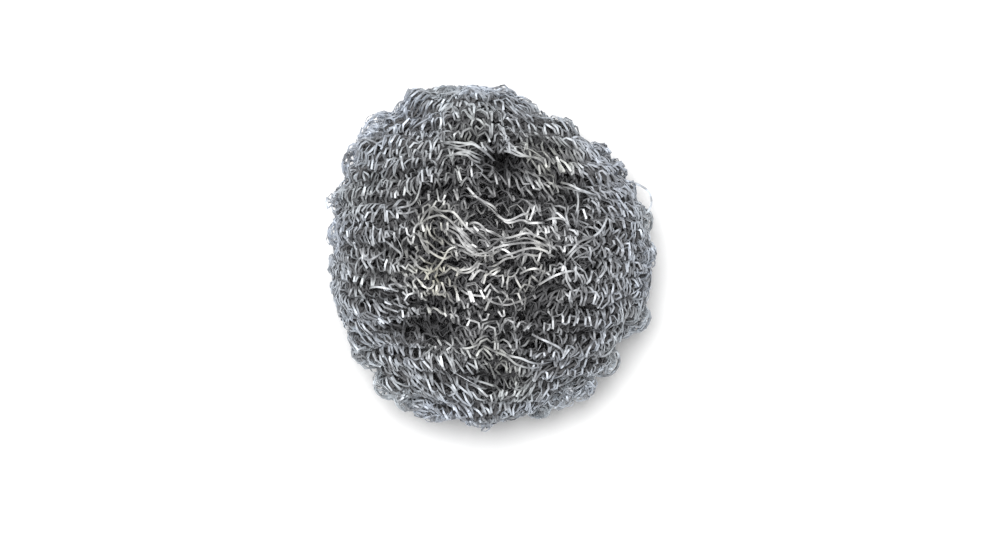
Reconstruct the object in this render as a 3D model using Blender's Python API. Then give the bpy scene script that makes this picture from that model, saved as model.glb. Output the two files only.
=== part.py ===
"""A pot scourer: a sleeve of knitted galvanised wire, gathered into folds and packed into one soft round pad.

The sleeve's axis lies along Y. Its folds are rings around that axis: they cross the upper face as
ridges along X, wrap over the rim and return beneath, and those near the ends bow round them. On the
upper face they turn a little round the place where the sleeve's mouth was tucked in, and pits lie
between them. Metres, +Z up, with the origin on the surface that the pad rests on, below its middle.
"""

import math

import bmesh
import bpy
import numpy as np

MM = 0.001

# The pad's outer size, over its folds
PAD_WIDTH = 80 * MM
PAD_LENGTH = 84 * MM
PAD_THICKNESS = 36 * MM

# How full its three outlines are: 2 is an ellipse, and more is squarer
OUTLINE_FULLNESS = 2.0
SIDE_FULLNESS = 2.6
SECTION_FULLNESS = 2.3

# How far each end of the sleeve leans to one side
LEAN_FAR_END = -6.5 * MM
LEAN_NEAR_END = -3.0 * MM

# The folds that the sleeve is gathered into
FOLD_COUNT = 17
FOLD_DEPTH = 5.6 * MM
FOLD_SHARPNESS = 1.3  # 1 is a plain wave, and more makes crests broad and grooves narrow
FOLD_OVERHANG = 1.0 * MM  # how far a crest leans out over the groove on each side
FADING = 0.6  # the share of its depth that a groove gains or loses along its length
FADING_LENGTH = 18 * MM
RIM_DEPTH = 0.4  # the share of its depth that a fold keeps at the rim

# How far the folds run from even rings, and how far the pad bulges between them
BOW = 0.32  # how far those near the ends bow round them: 0 is straight across
BEND = 3.2 * MM
BEND_LENGTH = 34 * MM
RIPPLE = 1.2 * MM
RIPPLE_LENGTH = 13 * MM
BULGE = 1.5 * MM
BULGE_LENGTH = 17 * MM

# Where the sleeve's ends are drawn shut, as shares of the pad's width
FOLDS_END = 0.7  # the folds fade out where the pad is narrower than this
TUCK_WIDTH = 0.2
END_TUCK = 0.5 * MM  # how far each end is drawn in

# The knit, as ribs across the folds
WALE_RIBS = 42
RIB_HEIGHT = 0.45 * MM

# How the folds turn where the sleeve's mouth was tucked in
SWIRL_CENTRE = (-4.0 * MM, 3.0 * MM)
SWIRL_RADIUS = 11 * MM  # along Y
SWIRL_STRETCH = 2.1  # how much longer it is along X
SWIRL_TURN = math.radians(25)

# Pits of the upper face, as x, y, half length, half width and depth in mm, and turn in degrees
PITS = (
    (2.9, 22.9, 6.5, 3.6, 9.0, -38),
    (-5.8, 28.3, 5.0, 2.2, 4.5, 0),
    (13.0, 27.0, 5.5, 2.2, 4.5, -8),
    (20.0, 14.4, 4.5, 2.6, 6.0, -30),
    (27.0, 6.7, 4.5, 2.4, 4.5, 5),
    (-29.2, 19.4, 2.8, 2.6, 4.0, 0),
    (-12.3, 16.4, 5.5, 2.4, 3.5, 0),
    (-0.4, 10.9, 11.0, 2.2, 4.5, 0),
    (-23.5, 1.7, 3.4, 3.0, 4.0, 0),
    (13.3, -11.2, 7.0, 3.6, 6.5, 32),
    (28.2, -3.0, 3.8, 3.4, 5.0, 0),
    (-15.8, -19.1, 11.5, 2.8, 6.0, 0),
    (-28.2, -12.4, 4.4, 2.6, 4.0, 0),
    (0.4, -30.6, 6.5, 2.6, 4.5, -15),
    (10.8, -21.6, 3.2, 2.6, 4.0, 0),
)
PIT_FACING = 0.8  # how far up the surface must face for a pit to have its full depth

# How far the underside is pressed flat where it meets the surface
PRESSED_FLAT = 4.5 * MM

# How finely the solid is divided
ROWS_PER_FOLD = 4
ROWS = FOLD_COUNT * ROWS_PER_FOLD
COLUMNS = 2 * WALE_RIBS
CROWN_SAMPLES = 4001
CHANCE = 7


def clear_scene():
    for item in list(bpy.data.objects):
        bpy.data.objects.remove(item)


def signed_power(values, exponent):
    return np.sign(values) * np.abs(values) ** exponent


def smooth_step(values):
    held = np.clip(values, 0, 1)
    return held * held * (3 - 2 * held)


def smooth_noise(points, length, seed):
    """A smooth random value at each point, mostly from -1 to 1, with swells about a length apart."""
    chance = np.random.default_rng(seed)
    waves = 7
    total = np.zeros(points.shape[:-1])
    for _ in range(waves):
        direction = chance.normal(size=3)
        direction *= math.tau / length * chance.uniform(0.7, 1.4) / np.linalg.norm(direction)
        total += np.sin(points @ direction + chance.uniform(0, math.tau))
    return total / math.sqrt(2 * waves)


def narrowing(along, fullness):
    """What an outline keeps of its width at each place from -1 to 1 along it."""
    return (1 - np.abs(along) ** fullness) ** (1 / fullness)


def plain_form(along, turn):
    """The pad without its folds: along goes from end to end of the sleeve, and turn goes round it."""
    half_width = PAD_WIDTH / 2 * narrowing(along, OUTLINE_FULLNESS)
    half_height = (PAD_THICKNESS + PRESSED_FLAT) / 2 * narrowing(along, SIDE_FULLNESS)
    lean = np.where(along > 0, LEAN_FAR_END, LEAN_NEAR_END) * along**2
    across = half_width * signed_power(np.cos(turn), 2 / SECTION_FULLNESS) + lean
    up = half_height * signed_power(np.sin(turn), 2 / SECTION_FULLNESS)
    return np.stack(np.broadcast_arrays(across, PAD_LENGTH / 2 * along, up), axis=-1)


def even_rows():
    """Places along the sleeve, evenly spaced over the crown of its upper face."""
    angles = np.linspace(-math.pi / 2, math.pi / 2, CROWN_SAMPLES)
    along = np.sin(angles)
    crown = plain_form(along, math.pi / 2)
    steps = np.linalg.norm(np.diff(crown, axis=0), axis=1)
    travelled = np.concatenate(([0.0], np.cumsum(steps)))
    wanted = np.linspace(0, travelled[-1], ROWS + 1)
    return np.interp(wanted, travelled, along)


def bowed(along, turn):
    """Holds the folds back at the rim, so that those near the ends bow round them."""
    return along - BOW * (along - along**3) * np.cos(turn) ** 2


def outward(points):
    """The direction out of the pad at each point of its grid of rows and columns."""
    along = np.gradient(points, axis=0)
    around = np.roll(points, -1, axis=1) - np.roll(points, 1, axis=1)
    facing = np.cross(along, around)
    facing[0] = (0, -1, 0)
    facing[-1] = (0, 1, 0)
    return facing / np.linalg.norm(facing, axis=-1, keepdims=True)


def swirled(points):
    """Turns the folds of the upper face round the tucked-in mouth."""
    across = (points[..., 0] - SWIRL_CENTRE[0]) / SWIRL_STRETCH
    up = points[..., 1] - SWIRL_CENTRE[1]
    distance = np.hypot(across, up) / SWIRL_RADIUS
    turn = SWIRL_TURN * smooth_step(1 - distance) * (points[..., 2] > 0)
    wound = points.copy()
    wound[..., 0] = SWIRL_CENTRE[0] + SWIRL_STRETCH * (across * np.cos(turn) - up * np.sin(turn))
    wound[..., 1] = SWIRL_CENTRE[1] + across * np.sin(turn) + up * np.cos(turn)
    return wound


def pit_depth(points):
    """How far the pits push the upper face in."""
    depth = np.zeros(points.shape[:-1])
    for x, y, half_length, half_width, deep, degrees in PITS:
        across = points[..., 0] / MM - x
        up = points[..., 1] / MM - y
        turn = math.radians(degrees)
        long_way = (across * math.cos(turn) + up * math.sin(turn)) / half_length
        short_way = (up * math.cos(turn) - across * math.sin(turn)) / half_width
        reach = np.hypot(long_way, short_way)
        depth = np.maximum(depth, deep * MM * np.exp(-(reach**3)))
    return depth


def folded_form():
    """The pad's points, by row from end to end of the sleeve and by column round it."""
    turn = (np.arange(COLUMNS) * math.tau / COLUMNS)[None, :]
    along = bowed(even_rows()[:, None], turn)
    width = narrowing(along, OUTLINE_FULLNESS)
    openness = smooth_step(width / FOLDS_END)
    plain = plain_form(along, turn)
    facing = outward(plain)

    phase = np.arange(ROWS + 1)[:, None] / ROWS_PER_FOLD  # whole in a groove
    groove = ((1 + np.cos(math.tau * phase)) / 2) ** FOLD_SHARPNESS
    strength = 1 + FADING * smooth_noise(plain, FADING_LENGTH, CHANCE)
    strength *= RIM_DEPTH + (1 - RIM_DEPTH) * np.abs(facing[..., 2])
    depth = FOLD_DEPTH * openness * strength * groove
    ribs = RIB_HEIGHT * openness * (1 - groove) * (np.arange(COLUMNS) % 2)
    bulge = BULGE * smooth_noise(plain, BULGE_LENGTH, CHANCE + 1)
    bend = BEND * smooth_noise(plain, BEND_LENGTH, CHANCE + 2)
    bend += RIPPLE * smooth_noise(plain, RIPPLE_LENGTH, CHANCE + 3)
    overhang = FOLD_OVERHANG * openness * np.sin(math.tau * phase)
    tucked = END_TUCK * (1 - smooth_step(width / TUCK_WIDTH))

    folded = plain + facing * (bulge + ribs - depth)[..., None]
    folded[..., 1] += bend * width**2 - overhang - np.sign(along) * tucked
    folded = swirled(folded)
    folded[..., 2] -= pit_depth(folded) * smooth_step(facing[..., 2] / PIT_FACING)
    return folded


def fit_to_size(points):
    """Brings the folded pad to its stated size, with its pressed part below the surface."""
    sizes = np.array((PAD_WIDTH, PAD_LENGTH, PAD_THICKNESS + PRESSED_FLAT))
    start = np.array((-PAD_WIDTH / 2, -PAD_LENGTH / 2, -PRESSED_FLAT))
    low = points.min(axis=(0, 1))
    high = points.max(axis=(0, 1))
    return start + (points - low) * sizes / (high - low)


def press_flat(points):
    pressed = points.copy()
    pressed[..., 2] = np.maximum(pressed[..., 2], 0)
    return pressed


def build_pad(collection):
    points = press_flat(fit_to_size(folded_form()))
    mesh = bmesh.new()
    bmesh.ops.create_uvsphere(mesh, u_segments=COLUMNS, v_segments=ROWS, radius=1.0)
    for vert in mesh.verts:
        # The sphere is turned about X, so that its poles lie on the sleeve's axis
        row = round((math.asin(np.clip(vert.co.z, -1, 1)) / math.pi + 0.5) * ROWS)
        column = round(math.atan2(-vert.co.y, vert.co.x) / math.tau * COLUMNS) % COLUMNS
        vert.co = points[row, column]
    data = bpy.data.meshes.new("knitted_wire_pad")
    mesh.to_mesh(data)
    mesh.free()
    data.shade_smooth()
    pad = bpy.data.objects.new("knitted_wire_pad", data)
    collection.objects.link(pad)
    return pad


def galvanised_wire():
    """Dull zinc grey, as the knitted wire looks from a step away."""
    material = bpy.data.materials.new("galvanised_wire")
    material.use_nodes = True
    shader = material.node_tree.nodes["Principled BSDF"]
    shader.inputs["Base Color"].default_value = (0.36, 0.37, 0.385, 1)
    shader.inputs["Metallic"].default_value = 0.9
    shader.inputs["Roughness"].default_value = 0.42
    return material


def main():
    clear_scene()
    collection = bpy.data.collections.new("pot_scourer")
    bpy.context.scene.collection.children.link(collection)
    pad = build_pad(collection)
    pad.data.materials.append(galvanised_wire())


main()
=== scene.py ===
"""Knits the pot scourer from flat-rolled galvanised wire and lights it on a pale floor.

The scourer is one sleeve of wire knitted round and round. It is gathered into folds, packed into a
squat round pad, and wound into a swirl where its mouth is tucked in. Here every stitch of its outer
layer is real wire, laid double on the same folded form as the solid it replaces, with coarser turns
of the same sleeve inside. Lengths are in metres, +Z is up and the pad rests at zero height.
"""

import math
from collections import namedtuple

import bmesh
import bpy
import numpy as np
from bpy.props import FloatProperty, FloatVectorProperty, IntProperty, PointerProperty
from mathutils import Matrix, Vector
from mathutils.kdtree import KDTree


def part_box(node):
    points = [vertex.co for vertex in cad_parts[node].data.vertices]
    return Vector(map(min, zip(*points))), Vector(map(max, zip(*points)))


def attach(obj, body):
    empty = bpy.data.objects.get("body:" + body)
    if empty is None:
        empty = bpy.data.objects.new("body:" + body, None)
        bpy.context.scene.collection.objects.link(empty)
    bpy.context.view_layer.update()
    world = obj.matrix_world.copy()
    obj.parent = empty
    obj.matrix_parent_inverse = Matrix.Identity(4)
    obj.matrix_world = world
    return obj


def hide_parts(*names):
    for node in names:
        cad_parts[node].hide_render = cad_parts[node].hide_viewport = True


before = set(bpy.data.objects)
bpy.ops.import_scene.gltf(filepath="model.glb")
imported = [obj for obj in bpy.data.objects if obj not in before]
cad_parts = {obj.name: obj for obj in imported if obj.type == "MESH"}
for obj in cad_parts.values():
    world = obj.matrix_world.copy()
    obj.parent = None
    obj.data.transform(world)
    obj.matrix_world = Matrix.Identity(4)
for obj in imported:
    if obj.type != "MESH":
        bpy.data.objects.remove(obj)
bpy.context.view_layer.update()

bl_info = {
    "name": "Knitted wire scourer",
    "version": (1, 0, 0),
    "blender": (4, 5, 0),
    "location": "3D View > Sidebar > Scourer",
    "description": "Knits a pot scourer from flat-rolled galvanised wire and lights it on a pale floor",
    "category": "Object",
}

MM = 0.001
UP = (0.0, 0.0, 1.0)
BODY = "root"
PAD_NODE = "knitted_wire_pad"
PAD_LOW, PAD_HIGH = (np.array(corner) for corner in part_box(PAD_NODE))
PAD_WIDTH, PAD_LENGTH, PAD_THICKNESS = PAD_HIGH - PAD_LOW
CHANCE = 7  # the seed that most random values start from

# The folded form of the sleeve, as the solid has it
OUTLINE_FULLNESS = 2.0  # how full each of the three outlines is: 2 is an ellipse, and more is squarer
SIDE_FULLNESS = 2.6
SECTION_FULLNESS = 2.3
LEAN_FAR_END = -6.5 * MM  # how far each end of the sleeve leans to one side
LEAN_NEAR_END = -3.0 * MM
FOLD_COUNT = 17
FOLD_SHARPNESS = 1.3  # 1 is a plain wave, and more makes crests broad and grooves narrow
FADING = 0.6  # the share of its depth that a groove gains or loses along its length
FADING_LENGTH = 18 * MM
RIM_DEPTH = 0.4  # the share of its depth that a fold keeps at the rim
BOW = 0.32  # how far the folds near the ends bow round them: 0 is straight across
BEND = 3.2 * MM  # how far the folds wander to and fro, in long bends and in short ripples
BEND_LENGTH = 34 * MM
RIPPLE = 1.2 * MM
RIPPLE_LENGTH = 13 * MM
BULGE = 1.5 * MM  # how far the pad bulges out and in
BULGE_LENGTH = 17 * MM
SWIRL_CENTRE = (-4.0 * MM, 3.0 * MM)
SWIRL_RADIUS = 11 * MM  # along Y
SWIRL_STRETCH = 2.1  # how much longer it is along X
SWIRL_TURN = math.radians(25)
FOLDS_END = 0.7  # the folds fade out where the pad is narrower than this, as a share of its width
TUCK_WIDTH = 0.2  # each end is drawn in where the pad is narrower than this
END_TUCK = 0.5 * MM
PIT_FACING = 0.8  # how far up the surface must face for a pit to have its full depth
PRESSED_FLAT = 4.5 * MM  # how far the underside is pressed in where it meets the floor

# Pits of the upper face, as x, y, half length, half width and depth in mm, and turn in degrees
PITS = (
    (2.9, 22.9, 6.5, 3.6, 9.0, -38),
    (-5.8, 28.3, 5.0, 2.2, 4.5, 0),
    (13.0, 27.0, 5.5, 2.2, 4.5, -8),
    (20.0, 14.4, 4.5, 2.6, 6.0, -30),
    (27.0, 6.7, 4.5, 2.4, 4.5, 5),
    (-29.2, 19.4, 2.8, 2.6, 4.0, 0),
    (-12.3, 16.4, 5.5, 2.4, 3.5, 0),
    (-0.4, 10.9, 11.0, 2.2, 4.5, 0),
    (-23.5, 1.7, 3.4, 3.0, 4.0, 0),
    (13.3, -11.2, 7.0, 3.6, 6.5, 32),
    (28.2, -3.0, 3.8, 3.4, 5.0, 0),
    (-15.8, -19.1, 11.5, 2.8, 6.0, 0),
    (-28.2, -12.4, 4.4, 2.6, 4.0, 0),
    (0.4, -30.6, 6.5, 2.6, 4.5, -15),
    (10.8, -21.6, 3.2, 2.6, 4.0, 0),
)

# The fine grid that the wire is laid on
GRID_ROWS_PER_FOLD = 18
GRID_COLUMNS = 360
CROWN_SAMPLES = 4001
FOLD_SAMPLES = 401
CROWN_LENGTH = 1.25  # the way over the crown from end to end, in lengths of the pad
GRID_INSET = 0.6 * MM  # how far the grid keeps inside the solid's box, for the wire's own loops
FLOOR_SOFTNESS = 0.7 * MM  # how softly a wire bends where it meets the floor
BLACKEST_PIT = 9 * MM  # painted shade: a pit is painted as dark as it is deep at this depth, and far paler above it

# The knit, where across is in stitches and up is in courses
LEVEL_SHARE = 0.6  # of a turn, which the wire makes before it climbs to the next course
CLIMB_SHARE = 0.3
TWITCH_STITCHES = 0.6  # how soon the small twitches of the wire change
SWING_STITCHES = 2.3  # how soon its longer swings change
ACROSS_TWITCH = 0.2
UP_TWITCH = 0.12
OUT_TWITCH = 0.2  # in mm
UP_SWING = 0.25
HALF_HEIGHT = 0.68  # of a stitch
HEIGHT_SWING = 0.13
LARGEST_COURSE = 2.7 * MM  # where a course is stretched past this, its stitches grow no taller
HEAD_ROUNDNESS = 0.9  # under 1 makes the heads of the stitches round
SWAY = 0.05  # how far a stitch opens half way up
SWAY_SWING = 0.05
PINCH = 0.1  # how far the two legs of a stitch come together
PINCH_SWING = 0.07
LEG_RISE = 0.45  # in mm, out from the fabric
HEAD_DROP = 1.5  # in mm, as the heads sink between the stitches of the next course
REGION_LEAN = 0.3  # how far the stitches lean sideways over each region of the fabric
REGION_LENGTH = 14 * MM
REGION_SEED = 2
TUFT_LEAN = 0.25
TUFT_LENGTH = 6 * MM
TUFT_SEED = 60
CORNER_LEAN = 0.5  # the fabric is skewed where the outline runs slantwise
CORNER_PLACE = 22 * MM
PUCKER = 0.5 * MM  # how far the fabric puckers out and in
PUCKER_LENGTH = 4.5 * MM
PUCKER_SEED = 41
JITTER_LENGTH = 4.0 * MM
JITTER_SEED = 31
HEAD_SHADE = 1.8 * MM  # painted shade: the heads, sunk between the stitches of the next course, are painted as dark as wire that lies this deep in a fold
# painted shade: the dips of the pucker are painted as dark as wire this deep in a fold
PUCKER_SHADE = 2.0 * MM

# How a wire is swept along its route
SECTION_CORNERS = ((-1, -1), (1, -1), (1, 1), (-1, 1))  # in half widths and half thicknesses
RING_VERTICES = len(SECTION_CORNERS)
CAP_VERTICES = 2 * RING_VERTICES  # of the two ends of a swept wire
CAP_FACES = 4
SAME_PLACE = 0.01 * MM  # points nearer than this are one to a sweep
ROUTE_STEPS = 24  # between two of the places that a loose wire passes
FEWEST_POINTS = 6  # of a short wire
WOBBLE_POINTS = 14  # the points over which a wire's tilt wobbles
SHARP_EDGE = math.radians(50)
MAP_ROW = 200  # the points of wire in each row of its own map

# Patterns of the finish, as the size of their swells and how much finer detail they hold. The grain of
# real hot-dipped zinc on wire is too fine to show, so it is drawn several times as coarse.
CLOUDS = (7 * MM, 3.0)
TINGE = (20 * MM, 1.0)
SPOTS = (2.2 * MM, 1.0)
GRAIN = (0.8 * MM, 2.0)
GRAIN_HEIGHT = 0.05 * MM
GRAIN_STRENGTH = 0.4
METALLIC = 0.65  # bare zinc would have 1, and its oxide has 0

# What the patterns, the distance from the middle and the depth in the folds in mm give the finish, as
# how it grows, where it starts and ends, and the least and most of it
WARM = ("LINEAR", 0.46, 0.66, 0.0, 0.6)
COOL = ("LINEAR", 20 * MM, 40 * MM, 0.0, 0.6)
SPOTTED = ("LINEAR", 0.44, 0.62, 0.0, 0.7)
# painted shade: the depth in the folds mixes the wire towards the grey of spots and shade
PAINTED_FOLD_SHADE = ("SMOOTHSTEP", 0.9, 4.2, 0.0, 1.0)
# painted shade: past 6.5 mm deep the wire is mixed towards near black
PAINTED_DEEP_SHADE = ("SMOOTHSTEP", 6.5, 10.5, 0.0, 0.9)
ROUGHNESS = ("LINEAR", 0.3, 0.7, 0.5, 0.66)
ADDED_ROUGHNESS = ("LINEAR", 0.8, 3.8, 0.0, 0.3)

# Loose bundles over the upper face, as their wires, spread, lift and the places that they pass, in mm
LOOSE_BUNDLES = (
    (
        3,
        0.9,
        1.2,
        ((-17.2, 5.2), (-16.6, 8.3), (-14.7, 10.1), (-11.6, 9.5), (-7.9, 6.4), (-4.8, 2.7), (-3.6, 0.2)),
    ),
    (3, 0.9, 0.9, ((-13.6, 7.8), (-9.1, 3.9), (-5.4, 1.5), (-2.3, -1.0))),
    (2, 0.8, 0.8, ((-17.5, 6.0), (-16.0, 2.5), (-12.0, 0.0), (-8.0, 0.6))),
    (1, 0.8, 0.9, ((-20.3, 0.2), (-17.0, -2.6), (-12.5, -3.6))),
    (2, 0.7, 0.8, ((-11.0, -2.6), (-6.0, -3.4), (-2.0, -1.8))),
    (3, 0.9, 1.0, ((-1.7, -1.0), (3.2, 2.3), (8.2, 3.3), (12.5, 2.1), (17.2, -1.0))),
    (2, 0.8, 1.2, ((-1.0, -2.4), (4.5, -1.0), (10.0, 0.4), (16.2, -0.7))),
    (2, 0.7, 1.0, ((-6.6, 0.6), (-2.0, -0.4), (1.5, 1.4), (3.0, 3.4))),
    (2, 0.8, 1.0, ((18.1, -1.6), (21.8, 2.7), (26.1, 5.2))),
    (1, 0.5, 0.8, ((18.7, -2.2), (23.6, 1.5), (27.5, 4.2))),
    (1, 0.5, 0.8, ((17.4, -1.5), (19.3, -6.5), (21.0, -10.0))),
    (1, 0.5, 0.8, ((20.0, -2.5), (22.2, -6.0), (23.0, -10.0))),
    (1, 0.6, 0.5, ((-10.4, -6.6), (-4.2, -9.7), (2.0, -10.9), (9.0, -10.4))),
    (3, 0.9, 1.0, ((-13.4, 26.0), (-7.9, 26.4), (-4.2, 25.6), (0.1, 23.1))),
    (2, 0.8, 1.0, ((-11.5, 23.8), (-6.5, 24.4), (-2.4, 23.0))),
    (3, 0.9, 1.0, ((3.2, 25.6), (8.2, 24.1), (11.9, 23.1), (14.4, 20.6))),
    (2, 0.7, 0.9, ((17.0, 18.0), (20.5, 16.2), (25.5, 13.8), (29.5, 13.4))),
    (2, 0.7, 0.8, ((-24.5, -2.8), (-22.0, 0.4), (-24.5, 3.6), (-27.6, 4.6))),
    (2, 0.8, 0.7, ((-2.0, -21.5), (4.0, -24.5), (10.0, -26.8), (15.5, -26.2))),
    (2, 1.0, 0.7, ((-7.0, 15.6), (-3.0, 13.6), (0.0, 10.9), (2.2, 8.6))),
    (2, 0.8, 0.5, ((1.0, 10.4), (4.0, 8.6), (8.0, 9.3), (11.0, 7.6))),
)

# Free loops past the rim, as height and the places that each passes in mm
FREE_LOOPS = (
    (19.0, ((33.5, 18.4), (36.6, 17.4), (39.0, 15.7), (39.8, 12.9), (38.5, 10.4), (35.9, 9.6), (33.0, 10.4))),
    (16.0, ((-36.6, -6.4), (-38.6, -7.0), (-39.7, -8.4), (-38.8, -9.8), (-36.8, -10.0))),
)

# Lobes of sprung stitches that stand out along the rim, as x, y, radius and height in mm
RIM_LOBES = (
    (-26.5, 30.0, 5.5, 17),
    (-28.5, 27.5, 4.0, 20),
    (-19.5, 35.2, 3.4, 17),
    (-12.0, 38.0, 3.8, 17),
    (-5.0, 38.2, 3.2, 18),
    (3.5, 38.4, 3.2, 18),
    (-31.8, 22.5, 4.8, 16),
    (-36.0, 13.0, 4.0, 18),
    (-36.3, 5.0, 4.0, 17),
    (-37.0, -2.5, 3.2, 16),
    (-35.4, -10.0, 4.0, 17),
    (-31.3, -22.9, 4.2, 16),
    (-25.6, -31.6, 3.8, 17),
    (36.4, 8.7, 3.6, 16),
    (37.4, 0.0, 3.2, 17),
    (35.4, -15.4, 3.8, 16),
    (28.0, -26.0, 4.2, 17),
    (22.0, -32.0, 3.8, 16),
    (11.4, -37.0, 3.6, 16),
    (-1.5, -39.0, 3.4, 17),
    (-14.0, -38.0, 3.6, 16),
    (-20.0, -35.0, 3.8, 18),
    (17.0, -34.6, 3.8, 17),
)

# The photograph's frame: its width at the height of the pad's rim, and where its middle lies from the pad's
PHOTO_WIDTH = 248.5 * MM
PHOTO_MIDDLE = (2.24 * MM, -4.22 * MM)
PHOTO_PLANE = 16 * MM
LENS_MM = 150
SENSOR_MM = 36


def linear_colour(code):
    """Turns an sRGB hex code into linear red, green and blue."""
    values = [int(code[place : place + 2], 16) / 255 for place in (1, 3, 5)]
    return tuple(v / 12.92 if v <= 0.04045 else ((v + 0.055) / 1.055) ** 2.4 for v in values)


def colour_property(name, description, code):
    """A setting that is a colour."""
    return FloatVectorProperty(
        name=name, description=description, default=linear_colour(code), size=3, subtype="COLOR", min=0, max=1
    )


def length_property(name, description, default):
    """A setting that is a length."""
    return FloatProperty(name=name, description=description, default=default, unit="LENGTH", precision=5)


class WireSettings(bpy.types.PropertyGroup):
    """Sizes and colours of the knitted wire."""

    width: length_property("Wire width", "Width of the flat-rolled wire", 0.5 * MM)
    thickness: length_property("Wire thickness", "Thickness of the flat-rolled wire", 0.12 * MM)
    stitch_width: length_property("Stitch width", "Width of a stitch round the sleeve", 2.9 * MM)
    courses: IntProperty(name="Turns", description="Turns of stitches along the sleeve", default=76)
    fold_depth: length_property("Fold depth", "Depth of the folds of the outer layer", 5.6 * MM)
    overhang: length_property("Overhang", "How far each crest leans out over its groove", 1.0 * MM)
    strays: IntProperty(name="Stray wires", description="Loose lengths of wire all over the pad", default=80)
    rim_arcs: IntProperty(name="Rim arcs", description="Single arcs of wire along the rim", default=70)
    zinc: colour_property("Zinc", "Clean zinc coating", "#E0E0DE")
    dull_zinc: colour_property("Dull zinc", "Oxidised zinc coating", "#B4B5B7")
    # painted shade as well as real oxide: this grey colours the dull oxide spots and also paints the shade in
    # the folds
    spots_and_shade_zinc: colour_property("Dark zinc", "Zinc in the folds, where it never rubs clean", "#707072")
    # painted shade: a near-black colour painted deep in the folds, on the inner turns and in the deepest pits
    deep_shade_zinc: colour_property("Black zinc", "Zinc gone black in the deepest pits", "#3A3A3C")
    warm_zinc: colour_property("Warm zinc", "Zinc with a yellow-green tinge", "#C4C0A8")
    cool_zinc: colour_property("Cool zinc", "Zinc with a blue tinge", "#A3AFC1")


class StageSettings(bpy.types.PropertyGroup):
    """Light and floor."""

    floor: colour_property("Floor", "Colour of the floor", "#FFFFFF")
    key_power: FloatProperty(
        name="Key power", description="Power of the large lamp overhead", default=21.8, unit="POWER"
    )
    sky_strength: FloatProperty(name="Sky", description="Strength of the even light all round", default=0.34)


def wire_settings():
    """The wire's sizes and colours, as the scene holds them."""
    return bpy.context.scene.scourer_wire


def stage_settings():
    """The light and floor, as the scene holds them."""
    return bpy.context.scene.scourer_stage


def add_object(name, data):
    """Adds an object to the scene for a mesh, curve, lamp or camera."""
    item = bpy.data.objects.new(name, data)
    bpy.context.scene.collection.objects.link(item)
    return item


def unit(vectors):
    """The vectors' directions, each of length one."""
    return vectors / np.maximum(np.linalg.norm(vectors, axis=-1, keepdims=True), 1e-12)


def signed_power(values, exponent):
    """Raises the size of each value to a power and keeps its sign."""
    return np.sign(values) * np.abs(values) ** exponent


def smooth_step(values):
    """Eases from 0 to 1 as each value goes from 0 to 1."""
    held = np.clip(values, 0, 1)
    return held * held * (3 - 2 * held)


def blend(start, end, share):
    """Goes from one value to another as the share goes from 0 to 1."""
    return start * (1 - share) + end * share


def way_travelled(steps):
    """How far it is to the start of each step, and to the end of the last."""
    return np.concatenate(([0.0], np.cumsum(steps)))


def smooth_noise(points, length, seed):
    """A smooth random value at each point, mostly from -1 to 1, with swells about a length apart."""
    chance = np.random.default_rng(seed)
    waves = 7
    total = np.zeros(points.shape[:-1])
    for _ in range(waves):
        direction = chance.normal(size=3)
        direction *= math.tau / length * chance.uniform(0.7, 1.4) / np.linalg.norm(direction)
        total += np.sin(points @ direction + chance.uniform(0, math.tau))
    return total / math.sqrt(2 * waves)


def smooth_shift(points, length, seed):
    """A smooth random shift at each point, one value for each axis."""
    return np.stack([smooth_noise(points, length, seed + 1000 * axis) for axis in range(3)], axis=-1)


def narrowing(along, fullness):
    """What an outline keeps of its width at each place from -1 to 1 along it."""
    return (1 - np.abs(along) ** fullness) ** (1 / fullness)


def plain_form(along, turn, share=(1, 1, 1)):
    """The pad without its folds: along goes from end to end of the sleeve, and turn goes round it."""
    half_width = share[0] * PAD_WIDTH / 2 * narrowing(along, OUTLINE_FULLNESS)
    half_height = share[2] * (PAD_THICKNESS + PRESSED_FLAT) / 2 * narrowing(along, SIDE_FULLNESS)
    lean = np.where(along > 0, LEAN_FAR_END, LEAN_NEAR_END) * along**2
    across = half_width * signed_power(np.cos(turn), 2 / SECTION_FULLNESS) + lean
    up = half_height * signed_power(np.sin(turn), 2 / SECTION_FULLNESS)
    return np.stack(np.broadcast_arrays(across, share[1] * PAD_LENGTH / 2 * along, up), axis=-1)


def bowed(along, turn):
    """Holds the folds back at the rim, so that those near the ends bow round them."""
    return along - BOW * (along - along**3) * np.cos(turn) ** 2


def places_along(fractions, share):
    """Places along the sleeve at fractions of the way over the crown of its upper face."""
    angles = np.linspace(-math.pi / 2, math.pi / 2, CROWN_SAMPLES)
    along = np.sin(angles)
    crown = plain_form(along, math.pi / 2, share)
    travelled = way_travelled(np.linalg.norm(np.diff(crown, axis=0), axis=1))
    return np.interp(fractions * travelled[-1], travelled, along)


def outward(points):
    """The direction out of the pad at each point of its grid of rows and columns."""
    along = np.gradient(points, axis=0)
    around = np.roll(points, -1, axis=1) - np.roll(points, 1, axis=1)
    facing = np.cross(along, around)
    facing[0] = (0, -1, 0)
    facing[-1] = (0, 1, 0)
    return unit(facing)


def swirled(points):
    """Winds the folds of the upper face round the tucked-in mouth."""
    across = (points[..., 0] - SWIRL_CENTRE[0]) / SWIRL_STRETCH
    up = points[..., 1] - SWIRL_CENTRE[1]
    distance = np.hypot(across, up) / SWIRL_RADIUS
    turn = SWIRL_TURN * smooth_step(1 - distance) * (points[..., 2] > 0)
    wound = points.copy()
    wound[..., 0] = SWIRL_CENTRE[0] + SWIRL_STRETCH * (across * np.cos(turn) - up * np.sin(turn))
    wound[..., 1] = SWIRL_CENTRE[1] + across * np.sin(turn) + up * np.cos(turn)
    return wound


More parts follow.
